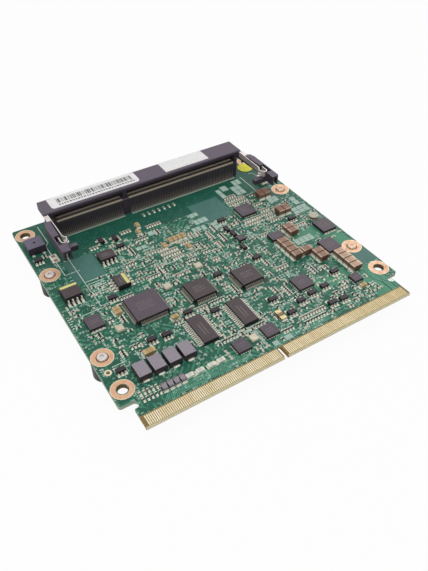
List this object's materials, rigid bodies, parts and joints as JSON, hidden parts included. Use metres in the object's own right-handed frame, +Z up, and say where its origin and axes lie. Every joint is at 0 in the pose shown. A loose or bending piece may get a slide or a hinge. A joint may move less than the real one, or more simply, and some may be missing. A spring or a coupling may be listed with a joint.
{
  "type": "system on module",
  "caption": "Green computer module card with gold card edge tongue, mixed surface-mount parts, a raised memory socket with sprung side latches, and black posts below",
  "frame": {"origin": "centre of the bounding box's base, at the feet of the posts", "axes": "+X along the card edge, +Y from the card edge to the memory socket, +Z up from the board"},
  "size_m": [0.0882, 0.085, 0.0155],
  "materials": {
    "green_laminate": "green solder mask over glass laminate",
    "bare_copper": "bare copper land",
    "gold_plating": "flash gold over nickel",
    "black_posts": "black finish",
    "bright_steel": "bright spring steel",
    "socket_plastic": "dark grey glass-filled polymer",
    "contact_metal": "tin over copper alloy",
    "paper_label": "white label stock",
    "yellow_film": "yellow film",
    "mould_compound": "dark moulding compound",
    "ferrite": "dark ferrite",
    "white_ceramic": "white ceramic",
    "tan_ceramic": "fired tan ceramic",
    "shunt_metal": "brown coated resistance metal",
    "coil_wire": "enamelled copper wire",
    "cream_ceramic": "cream ceramic",
    "crystal_metal": "plated lid",
    "resistor_glaze": "black glaze",
    "processor_laminate": "green package laminate",
    "silicon": "polished silicon",
    "tinned_metal": "matt tin"
  },
  "bodies": {
    "module": {"pcb": "green_laminate", "ground_rings": "bare_copper", "edge_fingers_top": "gold_plating", "edge_fingers_bottom": "gold_plating", "posts": "black_posts", "post_studs": "bright_steel", "memory_socket_body": "socket_plastic", "memory_contacts_lower": "contact_metal", "memory_contacts_upper": "contact_metal", "latch_anchors": "bright_steel", "barcode_label": "paper_label", "blank_label": "paper_label", "inspection_dot": "yellow_film", "sounder_body": "mould_compound", "sounder_leads": "tinned_metal", "power_inductors": "mould_compound", "power_inductor_ends": "tinned_metal", "ferrite_beads": "ferrite", "ferrite_bead_ends": "tinned_metal", "chip_fuses": "white_ceramic", "chip_fuse_ends": "tinned_metal", "bulk_capacitors": "tan_ceramic", "bulk_capacitor_ends": "tinned_metal", "tan_capacitors": "tan_ceramic", "tan_capacitor_ends": "tinned_metal", "end_shunt": "shunt_metal", "end_shunt_ends": "tinned_metal", "drum_coil_core": "cream_ceramic", "drum_coil_winding": "coil_wire", "line_choke": "cream_ceramic", "line_choke_ends": "tinned_metal", "controller_body": "mould_compound", "controller_leads": "tinned_metal", "quad_bodies": "mould_compound", "quad_leads": "tinned_metal", "shrink_bodies": "mould_compound", "shrink_leads_rows": "tinned_metal", "flash_body": "mould_compound", "flash_leads": "tinned_metal", "eight_lead_bodies": "mould_compound", "eight_lead_leads": "tinned_metal", "leadless_chips": "mould_compound", "leadless_pads": "tinned_metal", "power_chips": "mould_compound", "power_chip_leads": "tinned_metal", "transistor_bodies": "mould_compound", "transistor_leads": "tinned_metal", "crystal_cases": "cream_ceramic", "crystal_lids": "crystal_metal", "chip_capacitors": "tan_ceramic", "chip_capacitor_ends": "tinned_metal", "chip_resistors": "resistor_glaze", "chip_resistor_ends": "tinned_metal", "processor_package": "processor_laminate", "processor_die": "silicon", "underside_capacitors": "tan_ceramic", "underside_capacitor_ends": "tinned_metal"},
    "left_latch": {"latch_left": "bright_steel"},
    "right_latch": {"latch_right": "bright_steel"}
  },
  "joints": [
    {"name": "left_latch_flex", "type": "hinge", "parent": "module", "child": "left_latch", "pos_m": [-0.0342, 0.03285, 0.0142], "axis": [0, 0, -1], "range_deg": [0, 3], "stiffness_Nm_per_rad": 0.13},
    {"name": "right_latch_flex", "type": "hinge", "parent": "module", "child": "right_latch", "pos_m": [0.0342, 0.03285, 0.0142], "axis": [0, 0, 1], "range_deg": [0, 3], "stiffness_Nm_per_rad": 0.13}
  ]
}
